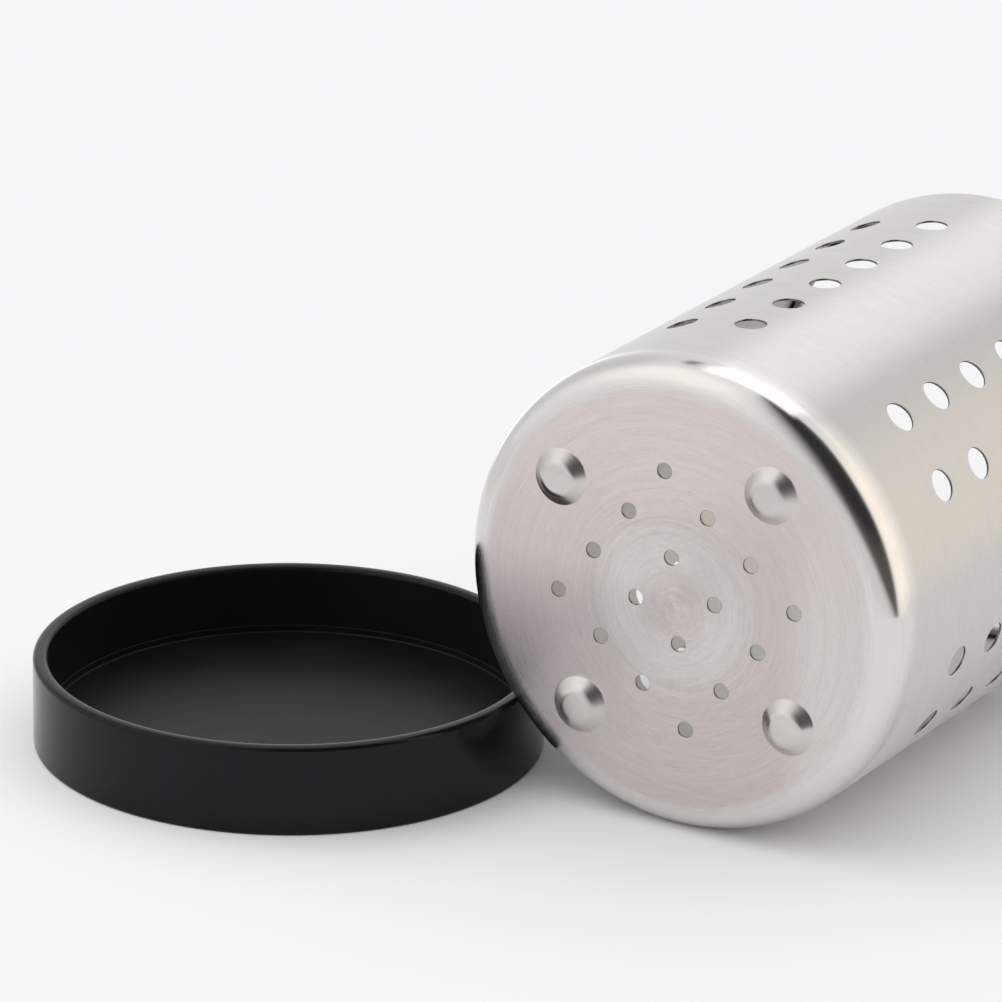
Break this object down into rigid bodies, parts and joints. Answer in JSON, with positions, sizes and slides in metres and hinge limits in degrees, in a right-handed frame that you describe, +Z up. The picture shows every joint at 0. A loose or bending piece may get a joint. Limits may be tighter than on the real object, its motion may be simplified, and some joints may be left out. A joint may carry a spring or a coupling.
{
  "type": "perforated utensil canister with drip tray",
  "caption": "Perforated drawn steel canister lying beside the round plastic tray that catches its drips; the canister tips up to stand on pressed feet.",
  "frame": {"origin": "centre of the drip tray's underside", "axes": "+Z up, +Y along the lying canister's axis from base to mouth, +X from the tray towards the canister"},
  "size_m": [0.2346, 0.223, 0.12],
  "materials": {
    "black_plastic": "satin moulded plastic",
    "brushed_steel": "brushed and polished stainless sheet"
  },
  "bodies": {
    "tray": {"drip_tray": "black_plastic"},
    "canister": {"canister": "brushed_steel"}
  },
  "joints": [
    {"name": "canister_tip", "type": "hinge", "parent": "tray", "child": "canister", "pos_m": [0.11057, -0.0041, 0], "axis": [1, 0, 0], "range_deg": [0, 90]}
  ]
}
